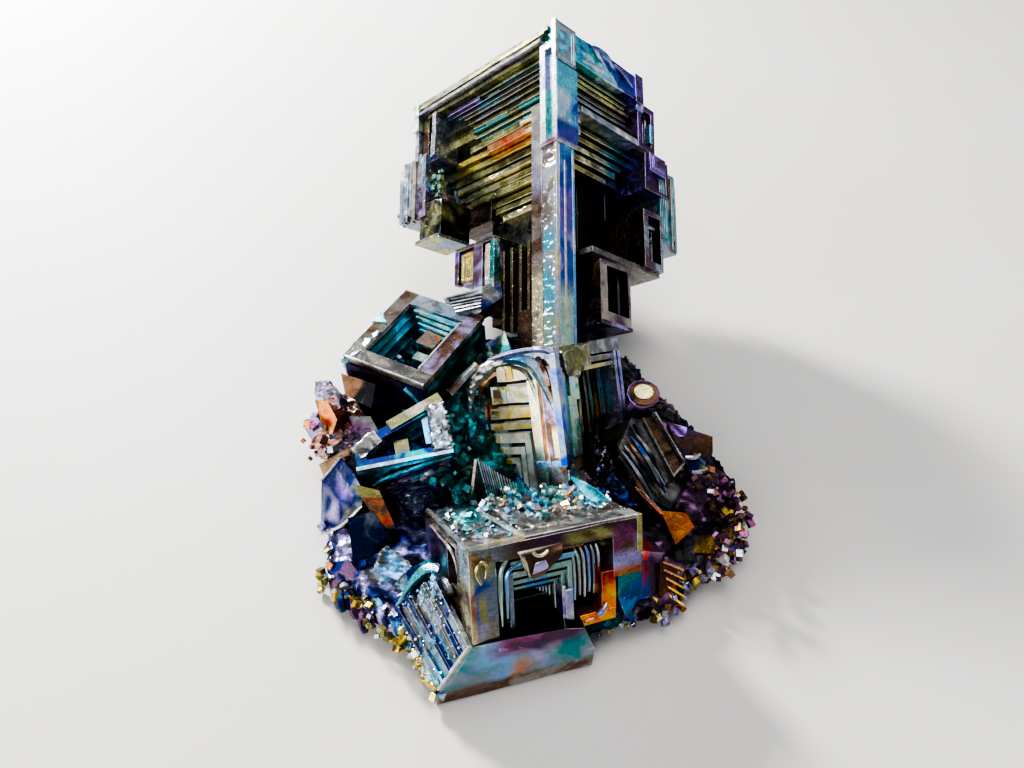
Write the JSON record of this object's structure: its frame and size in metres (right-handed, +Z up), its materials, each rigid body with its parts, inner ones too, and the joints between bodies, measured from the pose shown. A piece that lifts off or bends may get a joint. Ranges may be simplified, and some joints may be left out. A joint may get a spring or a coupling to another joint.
{
  "type": "bismuth hopper crystal",
  "caption": "Intergrown bismuth hopper crystal: stepped square-spiral blocks and open hoppers on a pebbled crust, with a leaning terraced tower and a rainbow oxide film.",
  "frame": {"origin": "centre of the bounding box's underside, on the surface the crust rests on", "axes": "+Z up, +Y from the front block towards the tower's head, +X to the right seen from the front"},
  "size_m": [0.079, 0.1316, 0.063],
  "materials": {
    "bismuth": "bright metal under a thin oxide film whose colour runs from silver and gold through magenta, blue and teal"
  },
  "bodies": {
    "root": {"bismuth_crystal": "bismuth"}
  },
  "joints": []
}
